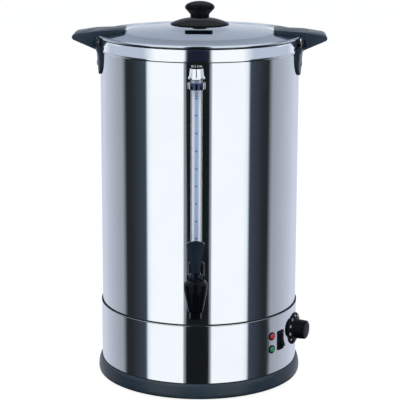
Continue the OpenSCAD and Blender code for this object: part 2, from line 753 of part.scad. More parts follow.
module tap_bonnet() {
    low = tap_shoulder + gap;
    color("#1a1f25") translate([0, tap_y, 0]) difference() {
        union() {
            translate([0, 0, low]) cylinder(r1 = bonnet_r, r2 = bonnet_r - 0.4, h = 1.6);
            translate([0, 0, low + 1.5]) cylinder(r1 = bonnet_r - 0.4, r2 = bonnet_r - 3, h = 1.4);
            translate([0, 0, low - 5]) cylinder(r = chamber_r - gap, h = 5 + e);
            for (x = [-1, 1]) translate([x * (ear_in + ear_t / 2), 0, low + 1]) {
                translate([0, 0, (pin_z - low - 1) / 2]) cube([ear_t, 7, pin_z - low - 1], center = true);
                translate([0, 0, pin_z - low - 1]) rotate([0, 90, 0]) cylinder(r = 3.5, h = ear_t, center = true);
            }
        }
        translate([0, 0, low - 6]) cylinder(r = stem_r + fit, h = 12);
        translate([0, 0, pin_z]) rotate([0, 90, 0]) cylinder(r = pin_r + fit / 2, h = 40, center = true);
    }
}

module lever_pin() {
    color("#b8bcc2") translate([0, tap_y, pin_z]) rotate([0, 90, 0])
        cylinder(r = pin_r, h = 2 * (ear_in + ear_t) + 1, center = true);
}

hub_r = 4.6;
fork_gap = stem_r + loose;

// Paddle lever: its front outline widens to the top and flares again to the fork at the pin.
module tap_lever() {
    top = pin_z + lever_l;
    waist_z = pin_z + 6.6;
    waist = 6.6;
    foot = ear_in - loose;
    color("#171c22") translate([0, tap_y, 0]) difference() {
        union() {
            translate([0, lever_t / 2, 0]) rotate([90, 0, 0]) linear_extrude(lever_t) union() {
                polygon([[-foot, pin_z - 2], [-foot, pin_z + 1.5], [-waist, waist_z], [-waist - 1.6, waist_z + 16],
                    [-lever_w / 2, top - 6.9], [-lever_w / 2, top - 3.5], [-lever_w / 2 + 3.5, top - 1],
                    [lever_w / 2 - 3.5, top - 1], [lever_w / 2, top - 3.5], [lever_w / 2, top - 6.9],
                    [waist + 1.6, waist_z + 16], [waist, waist_z], [foot, pin_z + 1.5], [foot, pin_z - 2]]);
                intersection() {
                    translate([0, top - 22]) circle(r = 22);
                    translate([-lever_w / 2 + 3, top - 4]) square([lever_w - 6, 6]);
                }
            }
            translate([0, 0, pin_z]) rotate([0, 90, 0]) cylinder(r = hub_r, h = 2 * foot, center = true);
        }
        translate([0, 0, pin_z]) rotate([0, 90, 0]) cylinder(r = pin_r + fit, h = 40, center = true);
        translate([-fork_gap, -10, pin_z - 10]) cube([2 * fork_gap, 20, 16.4]);
    }
}

module tap_stem() {
    color("#e4e6e8") translate([0, tap_y, 0]) difference() {
        union() {
            translate([0, 0, seat_z + 3]) cylinder(r = stem_r, h = pin_z - seat_z - 3 + 1);
            translate([0, 0, seat_z + 8]) cylinder(r = 6.5, h = 2);
        }
        for (z = [pin_z - stem_lift - 0.3, pin_z]) translate([0, 0, z]) rotate([0, 90, 0])
            cylinder(r = pin_r + loose, h = 20, center = true, $fn = 48);
        translate([-10, -pin_r - loose, pin_z - stem_lift - 0.3]) cube([20, 2 * (pin_r + loose), stem_lift + 0.3]);
    }
}

// Rubber cup on the stem's foot: it closes the spout's bore.
module seat_cup() {
    color("#d8cfc4") translate([0, tap_y, seat_z]) difference() {
        union() {
            translate([0, 0, gap]) cylinder(r = chamber_r - 1.2, h = 3);
            translate([0, 0, 3]) cylinder(r1 = chamber_r - 1.2, r2 = 6, h = 4.8);
        }
        translate([0, 0, 3]) cylinder(r = stem_r + fit / 2, h = 10);
    }
}

coils = 5;
coil_r = 5.4;
coil_wire_r = 0.7;
coil_low = seat_z + 10 + coil_wire_r + 0.1;
coil_high = tap_shoulder + gap - 5 - coil_wire_r - 0.1;
coil_steps = 10;
coil_sides = 6;

function coil_point(i, j) = let (t = i / (coils * coil_steps), a = 360 * coils * t, b = 360 * j / coil_sides,
    r = coil_r + coil_wire_r * cos(b))
    [r * cos(a), r * sin(a), coil_low + (coil_high - coil_low) * t + coil_wire_r * sin(b)];

module tap_spring() {
    rings = coils * coil_steps;
    color("#b8bcc2") translate([0, tap_y, 0]) tube_solid([for (i = [0:rings], j = [0:coil_sides - 1])
        coil_point(i, j)], rings, coil_sides);
}

/* handles, drawn on the right and mirrored for the left */

notch_z = body_top - 11.3;

pocket_x = seam_r + 5.1;
bolt_seat = body_r + 2.6;

// Front outline of a saddle: round corners below, and flared to the grip above.
function saddle_outline(low) = concat(
    [for (side = [-1, 1], i = [0:6]) let (a = side < 0 ? 180 + 15 * i : 270 + 15 * i)
        [side * (saddle_w / 2 - saddle_round) + saddle_round * cos(a), low + saddle_round * (1 + sin(a))]],
    [[saddle_w / 2, notch_z - 13], [saddle_w / 2 + 5, notch_z + 3], [-saddle_w / 2 - 5, notch_z + 3],
        [-saddle_w / 2, notch_z - 13]]);

module handle() {
    low = body_top - saddle_drop;
    top = body_top + handle_rise;
    join_z = notch_z - 5;
    nose = 8;
    color("#2c343d") difference() {
        union() {
            // grip: its side outline run front to back, rounded in plan
            intersection() {
                rotate([90, 0, 0]) linear_extrude(grip_w, center = true)
                    polygon([[body_r + 4, join_z], [body_r + 5.4, join_z], [handle_reach - 5.5, body_top - 3.3],
                        [handle_reach - 1.8, body_top - 2], [handle_reach - 0.3, body_top - 0.2],
                        [handle_reach, body_top + 1.4], [handle_reach - 0.8, body_top + 3.2],
                        [handle_reach - 2.8, body_top + 4.8], [handle_reach - 5.5, top - 4.2],
                        [body_r + 20, top - 1.8], [seam_r - 2, top], [body_r + 4, top]]);
                translate([0, 0, low]) linear_extrude(100) union() {
                    translate([body_r, -grip_w / 2]) square([handle_reach - nose - body_r, grip_w]);
                    translate([body_r, -grip_w / 2 + nose]) square([handle_reach - body_r, grip_w - 2 * nose]);
                    for (s = [-1, 1]) translate([handle_reach - nose, s * (grip_w / 2 - nose)]) circle(nose);
                }
            }
            // saddle on the body
            intersection() {
                rotate_extrude($fn = 180) polygon([
                    [body_r + gap, low - 1], [body_r + saddle_t - 0.8, low - 1], [body_r + saddle_t, low + 1.2],
                    [body_r + 5.2, body_top - 22], [body_r + 8.5, join_z + 2], [body_r + 9, notch_z + 1],
                    [band_r + gap, notch_z + 1], [band_r + gap, body_top - band_h - gap],
                    [body_r + gap, body_top - band_h - gap]]);
                translate([body_r - 40, 0, 0]) rotate([90, 0, 90]) linear_extrude(60) polygon(saddle_outline(low));
            }
        }
        // the lid ear turns inside this round seam, and its foot in the groove below the lip
        translate([0, 0, notch_z]) rotate_extrude($fn = 180) polygon([[0, 0], [seam_r + 1.6, 0],
            [seam_r + 1.6, 5.7], [seam_r, 5.7], [seam_r, 40], [0, 40]]);
        for (s = [-1, 1]) on_wall(90 + s * handle_bolt_az, handle_bolt_z, 0) {
            translate([0, 0, body_r - 5]) cylinder(r = handle_bolt_r + gap, h = 30);
            translate([0, 0, bolt_seat]) cylinder(r = 5, h = 30);
        }
        // finger recess, open below
        translate([pocket_x, -grip_w / 2 + 6, join_z - 10]) cube([pocket_w, grip_w - 12, top - 5 - join_z + 10]);
    }
}

module left_handle() {
    mirror([1, 0, 0]) handle();
}

module right_handle() {
    handle();
}

module handle_screws() {
    color("#9aa0a8") handle_bolts() translate([0, 0, bolt_seat + gap / 2]) screw(handle_bolt_r, 4.4, 2.6, 11);
}

module handle_nuts() {
    color("#a7adb5") handle_bolts() translate([0, 0, body_ir - 5.2]) hex_nut(8, handle_bolt_r + fit, 4);
}

/* lid */

module lid_pan() {
    color("#a8b4c0") difference() {
        rotate_extrude($fn = 180) polygon(concat(lid_line, bead_line, [[bead_c[0], lid_low],
            [body_ir - 4, lid_low], [body_ir - 4, lid_low + lid_t], [rim_in[0] - 0.4, lid_low + lid_t]],
            [for (i = [lid_steps:-1:0]) lid_line[i] - [0, lid_t]]));
        translate([0, 0, lid_top - 10]) cylinder(r = 3.2, h = 20);
        vent_cut(gap);
        ear_bolts() cylinder(r = ear_bolt_r + gap, h = 60, center = true);
    }
}

module vent_cut(extra) {
    translate([0, -vent_y, lid_top - 12]) linear_extrude(24) oblong(vent_l - 8 + 2 * extra, 5 + 2 * extra);
}

module oblong(l, w) {
    square([l - w, w], center = true);
    for (s = [-1, 1]) translate([s * (l - w) / 2, 0]) circle(w / 2);
}

// Locating ring under the lid, which drops inside the body.
module lid_ring() {
    color("#9ea8b2") translate([0, 0, body_top - 12]) ring(body_ir - 2, body_ir - 3, lid_low - gap / 2 - body_top + 12);
}

module lid_seal() {
    color("#d9d4cb") translate([0, 0, body_top + gap]) ring(body_r + 1.6, body_ir - 1.4, seal_t);
}

ear_bolt_r = 1.9;
ear_bolt_at = body_r - 20;
ear_w_in = 46;
ear_end = body_r - 38.5;
ear_top_t = 4.6;
ear_web_w = 36;             // the web under an ear's top, set back from its edges
ear_foot_at = body_r - 16;  // from here out an ear stands on the lid at its full width

module ear_bolts() {
    for (side = [0, 180], s = [-1, 1]) rotate([0, 0, side]) translate([ear_bolt_at, s * 13, body_top + 4]) children();
}

module ear() {
    top = body_top + handle_rise;
    ear_r = seam_r - loose;
    inner = ear_end;
    half = asin(grip_w / 2 / ear_r);
    color("#232a32") difference() {
        union() {
            intersection() {
                rotate([90, 0, 0]) linear_extrude(grip_w, center = true)
                    polygon([[inner + 4.5, body_top], [ear_r + 2, body_top], [ear_r + 2, top], [inner + 1.5, top + 2.6],
                        [inner, top + 1.6], [inner, top - 0.4], [inner + 4.5, top - 2.2]]);
                translate([0, 0, body_top]) linear_extrude(30) intersection() {
                    circle(ear_r, $fn = 180);
                    polygon([[inner, -ear_w_in / 2 + 3], [inner + 3, -ear_w_in / 2], [ear_r, -grip_w / 2],
                        [ear_r, grip_w / 2], [inner + 3, ear_w_in / 2], [inner, ear_w_in / 2 - 3]]);
                }
            }
            // hook outside the lid's rim, with a foot turned outward
            rotate([0, 0, -half]) rotate_extrude(angle = 2 * half, $fn = 180) polygon([
                [hook_r, notch_z + 1], [ear_r, notch_z + 1], [ear_r, notch_z + 5], [hook_r + 2.1, notch_z + 5.4],
                [hook_r + 2.1, body_top + 6], [hook_r, body_top + 6]]);
        }
        lid_shadow(gap);
        for (s = [-1, 1]) translate([inner - 1, s * (ear_web_w + grip_w) / 2 - grip_w / 2, body_top])
            cube([ear_foot_at - inner + 1, grip_w, handle_rise - ear_top_t]);
        translate([0, 0, body_top - 40]) cylinder(r = hook_r, h = 41, $fn = 180);
        for (s = [-1, 1]) translate([ear_bolt_at, s * 13, body_top]) cylinder(r = ear_bolt_r - fit, h = handle_rise);
    }
}

module left_ear() {
    mirror([1, 0, 0]) ear();
}

module right_ear() {
    ear();
}

module ear_screws() {
    color("#a7adb5") ear_bolts() translate([0, 0, lid_z(ear_bolt_at + 5) - lid_t - gap - body_top - 4])
        mirror([0, 0, 1]) screw(ear_bolt_r - 2 * fit, 3.6, 2.2, 4);
}

knob_neck_r = 14.3;
saucer_top = lid_top + 16;

// Round knob: a short neck, a cone that widens under the head, and a domed head.
module lid_knob() {
    hr = knob_d / 2;
    base = saucer_top + gap;
    neck_h = 5.3;
    dome = 9.2;
    mid = lid_top + knob_h - dome;
    under = -15;                // the head's round starts at this angle below level
    color("#14181d") difference() {
        rotate_extrude() polygon(concat(
            [[0, base], [knob_neck_r, base]],
            [for (i = [0:7]) let (t = i / 8) [knob_neck_r + (hr * cos(under) - knob_neck_r) * pow(t, 1.15),
                base + neck_h + (mid + dome * sin(under) - base - neck_h) * t]],
            [for (i = [0:14]) let (a = under + (90 - under) * i / 14) [hr * cos(a), mid + dome * sin(a)]]));
        translate([0, 0, base - e]) cylinder(r = 3, h = 17);
    }
}

// Round-topped saucer that keeps steam off the hand, on a hub that stands on the lid.
module knob_saucer() {
    sr = saucer_d / 2;
    hub = 11;
    edge_z = lid_top + 5.4;
    edge_t = 2.6;
    rise = saucer_top - edge_z - edge_t;
    function dish(r) = rise * (1 - pow(max(0, r - knob_neck_r) / (sr - knob_neck_r), 1.8));
    color("#161b20") difference() {
        rotate_extrude($fn = 128) polygon(concat(
            [[0, lid_top + gap], [hub, lid_top + gap], [hub, edge_z + 0.9 * dish(hub)]],
            [for (i = [0:10]) let (r = hub + 4 + (sr - hub - 5) * i / 10) [r, edge_z + 0.9 * dish(r)]],
            [[sr, edge_z + 0.7], [sr, edge_z + edge_t - 0.7]],
            [for (i = [10:-1:0]) let (r = knob_neck_r + (sr - 1 - knob_neck_r) * i / 10)
                [r, edge_z + edge_t + dish(r)]],
            [[0, saucer_top]]));
        translate([0, 0, lid_top - 1]) cylinder(r = 3.2, h = 40);
    }
}

module knob_screw() {
    color("#a7adb5") translate([0, 0, lid_top - lid_t - gap / 2]) mirror([0, 0, 1]) screw(2.9, 7, 3, 32);
}

// Oblong steam vent: a black moulding through the lid in front of the knob.
module steam_vent() {
    foot_z = lid_z(vent_y) - 2;
    color("#14181d") difference() {
        union() {
            difference() {
                translate([0, -vent_y, foot_z]) linear_extrude(7.4) oblong(vent_l, 9.5);
                lid_shadow(gap / 2);
            }
            translate([0, -vent_y, foot_z - 2]) linear_extrude(6) oblong(vent_l - 8, 5);
        }
        for (i = [-2:2]) translate([i * 6.2, -vent_y, foot_z - 3]) linear_extrude(14) oblong(4.6, 2.2);
    }
}

vessel();
rim_band();
housing();
support_ring();
base_ring();
base_plate();
rubber_feet();
base_screws();
tie_rod();
tie_nut();
heater_plate();
heater_tube();
cutout_body();
reset_button();
thermostat_body();
thermostat_shaft();
capillary();
sensor_bulb();
dial_collar();
dial_knob();
switch_body();
switch_rocker();
lamp_bezels();
red_lens();
green_lens();
terminal_block();
cable_gland();
wiring();
tap_body();
tap_bonnet();
tap_lever();
lever_pin();
tap_stem();
seat_cup();
tap_spring();
tap_washers();
tap_nut();
gauge_nut();
gauge_tube();
gauge_seals();
gauge_bracket();
bracket_nut();
gauge_cap();
left_handle();
right_handle();
handle_screws();
handle_nuts();
lid_pan();
lid_ring();
lid_seal();
left_ear();
right_ear();
ear_screws();
lid_knob();
knob_saucer();
knob_screw();
steam_vent();
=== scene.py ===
import json
import math

import bmesh
import bpy
from mathutils import Matrix, Vector

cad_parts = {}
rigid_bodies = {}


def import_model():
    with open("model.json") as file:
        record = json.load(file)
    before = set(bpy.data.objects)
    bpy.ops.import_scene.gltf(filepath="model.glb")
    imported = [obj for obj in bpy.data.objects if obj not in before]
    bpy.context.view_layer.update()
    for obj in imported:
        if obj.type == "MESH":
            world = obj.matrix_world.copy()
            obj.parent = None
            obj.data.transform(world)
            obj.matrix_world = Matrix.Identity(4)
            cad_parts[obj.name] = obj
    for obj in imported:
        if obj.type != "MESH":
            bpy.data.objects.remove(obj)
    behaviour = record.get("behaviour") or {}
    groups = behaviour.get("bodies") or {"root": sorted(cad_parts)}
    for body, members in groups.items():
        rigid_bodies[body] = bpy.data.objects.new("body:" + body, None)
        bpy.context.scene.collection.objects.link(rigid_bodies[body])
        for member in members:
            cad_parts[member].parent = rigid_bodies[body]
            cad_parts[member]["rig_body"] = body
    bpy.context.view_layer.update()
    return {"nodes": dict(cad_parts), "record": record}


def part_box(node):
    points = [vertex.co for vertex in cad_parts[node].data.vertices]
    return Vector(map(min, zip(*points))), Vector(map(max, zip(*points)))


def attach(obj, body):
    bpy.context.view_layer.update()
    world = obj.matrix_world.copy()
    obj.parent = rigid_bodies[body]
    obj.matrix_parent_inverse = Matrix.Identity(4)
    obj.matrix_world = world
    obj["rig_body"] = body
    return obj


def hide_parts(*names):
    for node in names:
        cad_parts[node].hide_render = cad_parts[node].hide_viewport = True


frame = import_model()
scene = bpy.context.scene
nodes = frame["nodes"]
slotOf = {row["node"]: row["material_slot"] for row in frame["record"]["subparts"]}
mm = 0.001


# One wrapped socket: Python's operators on it add Math nodes.
class Signal:
    def __init__(self, paint, socket):
        self.paint = paint
        self.socket = socket

    def maths(self, operation, *others):
        return self.paint.node("ShaderNodeMath", {"operation": operation}, dict(enumerate((self,) + others)))

    def __add__(self, other):
        return self.maths("ADD", other)

    __radd__ = __add__

    def __sub__(self, other):
        return self.maths("SUBTRACT", other)

    def __rsub__(self, other):
        return self.maths("MULTIPLY_ADD", -1, other)

    def __mul__(self, other):
        return self.maths("MULTIPLY", other)

    __rmul__ = __mul__

    def __truediv__(self, other):
        return self.maths("DIVIDE", other)

    def __pow__(self, other):
        return self.maths("POWER", other)

    def rising(self, low, high):
        # 0 up to low, 1 from high on, and smooth between them
        return self.paint.node("ShaderNodeMapRange", {"interpolation_type": "SMOOTHSTEP"},
                               {"Value": self, "From Min": low, "From Max": high})


def tint(red, green, blue):
    # a colour as a screen shows it, 0 to 255, made linear for the shaders
    def linear(level):
        level /= 255
        return level / 12.92 if level <= 0.04045 else ((level + 0.055) / 1.055) ** 2.4
    return (linear(red), linear(green), linear(blue), 1)


# The nodes of one material, or of the world.
class Paint:
    def __init__(self, owner):
        owner.use_nodes = True
        self.owner = owner
        self.tree = owner.node_tree
        self.tree.nodes.clear()

    def node(self, kind, settings, inputs, output=0):
        made = self.tree.nodes.new(kind)
        for key, value in settings.items():
            if key == "stops":
                self.setStops(made.color_ramp, value)
            else:
                setattr(made, key, value)
        for key, value in inputs.items():
            if isinstance(value, Signal):
                self.tree.links.new(value.socket, made.inputs[key])
            else:
                made.inputs[key].default_value = value
        return Signal(self, made.outputs[output]) if made.outputs else made

    def setStops(self, ramp, stops):
        while len(ramp.elements) > 1:
            ramp.elements.remove(ramp.elements[0])
        for i, (place, colour) in enumerate(stops):
            stop = ramp.elements[0] if i == 0 else ramp.elements.new(place)
            stop.position = place
            stop.color = colour

    def place(self):
        return self.node("ShaderNodeTexCoord", {}, {}, "Object")

    def axes(self):
        where = self.place()
        return [self.node("ShaderNodeSeparateXYZ", {}, {0: where}, i) for i in range(3)]

    def noise(self, scale, detail=2.0, stretch=(1, 1, 1)):
        where = self.node("ShaderNodeMapping", {}, {"Vector": self.place(), "Scale": stretch})
        return self.node("ShaderNodeTexNoise", {}, {"Vector": where, "Scale": scale, "Detail": detail})

    def mixed(self, factor, first, second):
        return self.node("ShaderNodeMix", {"data_type": "RGBA"}, {0: factor, 6: first, 7: second}, 2)

    def bump(self, height, strength, distance):
        return self.node("ShaderNodeBump", {},
                         {"Height": height, "Strength": strength, "Distance": distance * mm})

    def principled(self, inputs):
        return self.node("ShaderNodeBsdfPrincipled", {}, inputs)

    def end(self, shader):
        self.node("ShaderNodeOutputMaterial", {}, {"Surface": shader})
        return self.owner


def newPaint(name):
    return Paint(bpy.data.materials.new(name))


# ---- finishes

steelLooks = {
    # colour, roughness, how much the roughness wanders, height of the sheet's waviness in mm
    "stainless_body": {"colour": tint(236, 239, 243), "roughness": 0.045, "wander": 0.03, "wave": 0.04},
    "stainless_band": {"colour": tint(238, 241, 245), "roughness": 0.07, "wander": 0.03, "wave": 0.02},
    "stainless_housing": {"colour": tint(235, 238, 242), "roughness": 0.055, "wander": 0.03, "wave": 0.05},
    "hidden_steel": {"colour": tint(170, 174, 180), "roughness": 0.34, "wander": 0.12, "wave": 0.02},
    "chrome": {"colour": tint(240, 243, 247), "roughness": 0.06, "wander": 0.03, "wave": 0.01},
}


def polishedSteel(slot):
    look = steelLooks[slot]
    paint = newPaint(slot)
    smudge = paint.noise(14, 4).rising(0.35, 0.75)
    polish = paint.noise(900, 2, (1, 1, 0.02))          # fine upright traces of the polishing belt
    wave = paint.noise(5, 1, (1, 1, 0.35)) + 0.02 * polish
    shade = paint.mixed(smudge * 0.35, look["colour"], [0.93 * part for part in look["colour"][:3]] + [1])
    return paint.end(paint.principled({
        "Base Color": shade, "Metallic": 1.0,
        "Roughness": look["roughness"] + look["wander"] * smudge * (0.6 + 0.4 * polish),
        "Normal": paint.bump(wave, 0.35, look["wave"])}))


lidLook = {"colour": tint(206, 213, 222), "roughness": 0.22, "shoulder": 0.09, "crownR": 112,
           "lineWidth": 0.55, "lineHeight": 0.003}


def spunLidSteel(slot):
    paint = newPaint(slot)
    x, y, z = paint.axes()
    radius = (x * x + y * y) ** 0.5
    rings = (radius * (2 * math.pi / (lidLook["lineWidth"] * mm))).maths("SINE")
    uneven = paint.noise(60, 3)
    cloud = paint.noise(7, 2).rising(0.3, 0.7)
    shade = paint.mixed(cloud * 0.15, lidLook["colour"], tint(190, 197, 207))
    outward = (radius / mm).rising(lidLook["crownR"] - 1, lidLook["crownR"] + 1)
    rough = lidLook["roughness"] - (lidLook["roughness"] - lidLook["shoulder"]) * outward + 0.03 * cloud
    return paint.end(paint.principled({
        "Base Color": shade, "Metallic": 1.0, "Roughness": rough,
        "Normal": paint.bump(rings * uneven * (1 - 0.8 * outward), 0.5, lidLook["lineHeight"])}))


plasticLooks = {
    # colour, worn colour, roughness, gloss level, grain size in mm, grain height in mm
    "base_plastic": (tint(34, 48, 60), tint(46, 62, 78), 0.30, 0.35, 0.9, 0.02),
    "handle_black": (tint(36, 50, 62), tint(46, 60, 73), 0.30, 0.22, 0.8, 0.02),
    "tap_black": (tint(5, 9, 15), tint(11, 17, 26), 0.20, 0.08, 1.2, 0.008),
    "lever_black": (tint(20, 32, 46), tint(28, 42, 58), 0.24, 0.25, 1.2, 0.008),
    "black_gloss": (tint(4, 8, 14), tint(9, 14, 22), 0.24, 0.06, 1.0, 0.01),
    "gland_black": (tint(20, 22, 26), tint(34, 36, 42), 0.5, 0.4, 0.8, 0.03),
    "rubber": (tint(24, 25, 28), tint(44, 46, 50), 0.8, 0.4, 0.6, 0.05),
    # a dark finish: the lid's seal, and the dark rings of painted shade in the housing's gaps
    "seal_dark": (tint(16, 18, 22), tint(26, 28, 33), 0.6, 0.12, 0.8, 0.02),
    "silicone": (tint(214, 209, 200), tint(198, 192, 182), 0.55, 0.5, 0.8, 0.02),
    "ceramic": (tint(216, 211, 199), tint(186, 180, 168), 0.45, 0.5, 0.5, 0.03),
    "block_white": (tint(230, 228, 221), tint(212, 208, 198), 0.42, 0.5, 0.9, 0.02),
    "reset_red": (tint(178, 32, 38), tint(140, 22, 28), 0.35, 0.5, 1.0, 0.01),
    "wire_insulation": (tint(168, 78, 42), tint(140, 60, 34), 0.45, 0.5, 0.8, 0.01),
}


def mouldedPlastic(slot):
    colour, worn, roughness, gloss, grain, height = plasticLooks[slot]
    paint = newPaint(slot)
    fine = paint.noise(1 / (grain * mm), 3)
    broad = paint.noise(22, 3).rising(0.42, 0.8)
    return paint.end(paint.principled({
        "Base Color": paint.mixed(broad * 0.45, colour, worn), "Specular IOR Level": gloss,
        "Roughness": roughness + 0.08 * broad + 0.04 * fine,
        "Normal": paint.bump(fine, 0.6, height)}))


metalLooks = {
    # colour, stained colour, roughness, size of the stains in mm
    "aluminium_plate": (tint(190, 193, 197), tint(160, 163, 168), 0.38, 14),
    "heater_sheath": (tint(126, 108, 96), tint(84, 74, 84), 0.42, 22),
    "brass": (tint(201, 176, 120), tint(160, 130, 80), 0.30, 9),
    "copper": (tint(205, 128, 84), tint(150, 84, 58), 0.28, 9),
}


def workedMetal(slot):
    colour, stain, roughness, size = metalLooks[slot]
    paint = newPaint(slot)
    stains = paint.noise(1 / (size * mm), 4).rising(0.4, 0.75)
    scratch = paint.noise(1400, 2, (1, 0.08, 1))
    return paint.end(paint.principled({
        "Base Color": paint.mixed(stains, colour, stain), "Metallic": 1.0,
        "Roughness": roughness + 0.12 * scratch,
        "Normal": paint.bump(scratch, 0.4, 0.01)}))


lampLooks = {
    # body colour, colour of the glow and its strength
    "red_glow": (tint(172, 18, 28), tint(255, 50, 50), 0.09),
    "green_glow": (tint(6, 122, 80), tint(40, 220, 150), 0.05),
}


def lampLens(slot):
    colour, glow, strength = lampLooks[slot]
    paint = newPaint(slot)
    facets = paint.noise(700, 1)
    deep = paint.mixed(facets * 0.5, colour, [0.45 * part for part in colour[:3]] + [1])
    return paint.end(paint.principled({
        "Base Color": deep, "Roughness": 0.12 + 0.06 * facets, "Emission Color": glow,
        "Emission Strength": strength, "Coat Weight": 0.6, "Normal": paint.bump(facets, 0.3, 0.05)}))


glassLook = {"colour": tint(236, 240, 250), "alpha": 0.10, "roughness": 0.03}


def gaugeGlass(slot):
    paint = newPaint(slot)
    streak = paint.noise(260, 2, (1, 1, 0.05))
    glass = paint.owner
    glass.surface_render_method = "BLENDED"
    # painted reflection: the glass grows opaque and pale where it turns away from the view, as bright edges
    edge = paint.node("ShaderNodeLayerWeight", {}, {"Blend": 0.35}, "Facing")
    return paint.end(paint.principled({
        "Base Color": glassLook["colour"], "Roughness": glassLook["roughness"] + 0.02 * streak,
        "Alpha": glassLook["alpha"] + 0.8 * edge ** 2}))


paints = {}
for slots, make in ((steelLooks, polishedSteel), ({"lid_steel": 0}, spunLidSteel),
                    (plasticLooks, mouldedPlastic), (metalLooks, workedMetal), (lampLooks, lampLens),
                    ({"glass": 0}, gaugeGlass)):
    for slot in slots:
        paints[slot] = make(slot)
paintOf = {name: paints[slot] for name, slot in slotOf.items()}
# the stem and pin take the black tap finish: painted shade where they show in the lever's fork
for name in ("tap_stem", "lever_pin"):
    paintOf[name] = paints["tap_black"]
paintOf["tap_lever"] = paints["lever_black"]
# the lid's seal is drawn in this dark finish, making the dark line between the lid and the rim
paintOf["lid_seal"] = paints["seal_dark"]


# the ring's dark blue and the cheeks' near white are painted reflection: dark in front, bright at the sides
bracketLook = {"ring": tint(58, 70, 96), "cheeks": tint(240, 243, 247), "ringTo": 9.3, "cheeksFrom": 9.7}


def bracketPaint():
    # a dark ring and bright cheeks, split by the distance to the side: painted reflection, dark in front and
    # bright at the sides
    paint = newPaint("bracket_steel")
    aside = paint.axes()[0].maths("ABSOLUTE") / mm
    grain = paint.noise(300, 2)
    paintedBrightSides = aside.rising(bracketLook["ringTo"], bracketLook["cheeksFrom"])
    return paint.end(paint.principled({
        "Base Color": paint.mixed(paintedBrightSides, bracketLook["ring"], bracketLook["cheeks"]), "Metallic": 1.0,
        "Roughness": 0.12 + 0.06 * grain}))


paintOf["gauge_bracket"] = bracketPaint()
for name, node in nodes.items():
    node.data.materials.clear()
    node.data.materials.append(paintOf[name])
print("finishes:", len(paints), "materials")


# ---- mesh helpers

weldDistance = 0.002 * mm
shortEdge = 0.12 * mm
flatAngle = math.radians(0.3)
sharpAngle = math.radians(28)


def span(node):
    # lowest and highest corner of a CAD node, in millimetres
    low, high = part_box(node)
    return low / mm, high / mm


def turned(points, steps, closed=False):
    # the outline of [radius, height] in millimetres, turned once round the Z axis
    bm = bmesh.new()
    verts = [bm.verts.new((r * mm, 0, z * mm)) for r, z in points]
    edges = [bm.edges.new(pair) for pair in zip(verts, verts[1:])]
    if closed:
        edges.append(bm.edges.new((verts[-1], verts[0])))
    bmesh.ops.spin(bm, geom=verts + edges, cent=(0, 0, 0), axis=(0, 0, 1), angle=2 * math.pi,
                   steps=steps, use_merge=True)
    bmesh.ops.remove_doubles(bm, verts=bm.verts, dist=weldDistance)
    bmesh.ops.recalc_face_normals(bm, faces=bm.faces)
    return bm


def arc(centre, radius, start, end, count):
    # points along an arc, by angles in degrees
    turns = [math.radians(start + (end - start) * i / count) for i in range(count + 1)]
    return [(centre[0] + radius * math.cos(a), centre[1] + radius * math.sin(a)) for a in turns]


def bevelSharp(bm, width, segments=2):
    corners = [edge for edge in bm.edges if len(edge.link_faces) == 2 and edge.calc_face_angle() > sharpAngle]
    bmesh.ops.bevel(bm, geom=corners, offset=width * mm, affect="EDGES", segments=segments, profile=0.5,
                    material=-1, clamp_overlap=True)


def smoothByAngle(bm):
    for face in bm.faces:
        face.smooth = True
    for edge in bm.edges:
        edge.smooth = len(edge.link_faces) == 2 and edge.calc_face_angle() < sharpAngle


def copied(node):
    # a welded copy of a CAD node, with its flat faces made whole and its shortest edges closed up
    bm = bmesh.new()
    bm.from_mesh(nodes[node].data)
    bmesh.ops.remove_doubles(bm, verts=bm.verts, dist=weldDistance)
    bmesh.ops.dissolve_limit(bm, angle_limit=flatAngle, verts=bm.verts, edges=bm.edges)
    bmesh.ops.dissolve_degenerate(bm, dist=shortEdge, edges=bm.edges)
    return bm


def finished(name, bm, node, paint=None, replaces=True):
    # one piece of the visual model, on the body of the CAD node that it stands for or sits on
    smoothByAngle(bm)
    mesh = bpy.data.meshes.new(name)
    bm.to_mesh(mesh)
    bm.free()
    if "custom_normal" in mesh.attributes:
        mesh.attributes.remove(mesh.attributes["custom_normal"])
    mesh.materials.clear()
    mesh.materials.append(paint or paintOf[node])
    made = bpy.data.objects.new(name, mesh)
    scene.collection.objects.link(made)
    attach(made, nodes[node]["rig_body"])
    if replaces:
        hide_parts(node)
    return made


def onWall(azimuth, height, radius):
    # a place on a round wall: X runs round it, Y up and Z outward; sizes in millimetres
    return (Matrix.Rotation(math.radians(azimuth), 4, "Z")
            @ Matrix.Translation((0, -radius * mm, height * mm)) @ Matrix.Rotation(math.pi / 2, 4, "X"))


# ---- lid

lid = {"crownR": 112, "crownDrop": 3.7, "beadR": 2.2, "beadOpen": 20, "sheet": 0.9, "seatIn": 2,
       "edgeIn": 0.4, "rings": 42, "steps": 256}


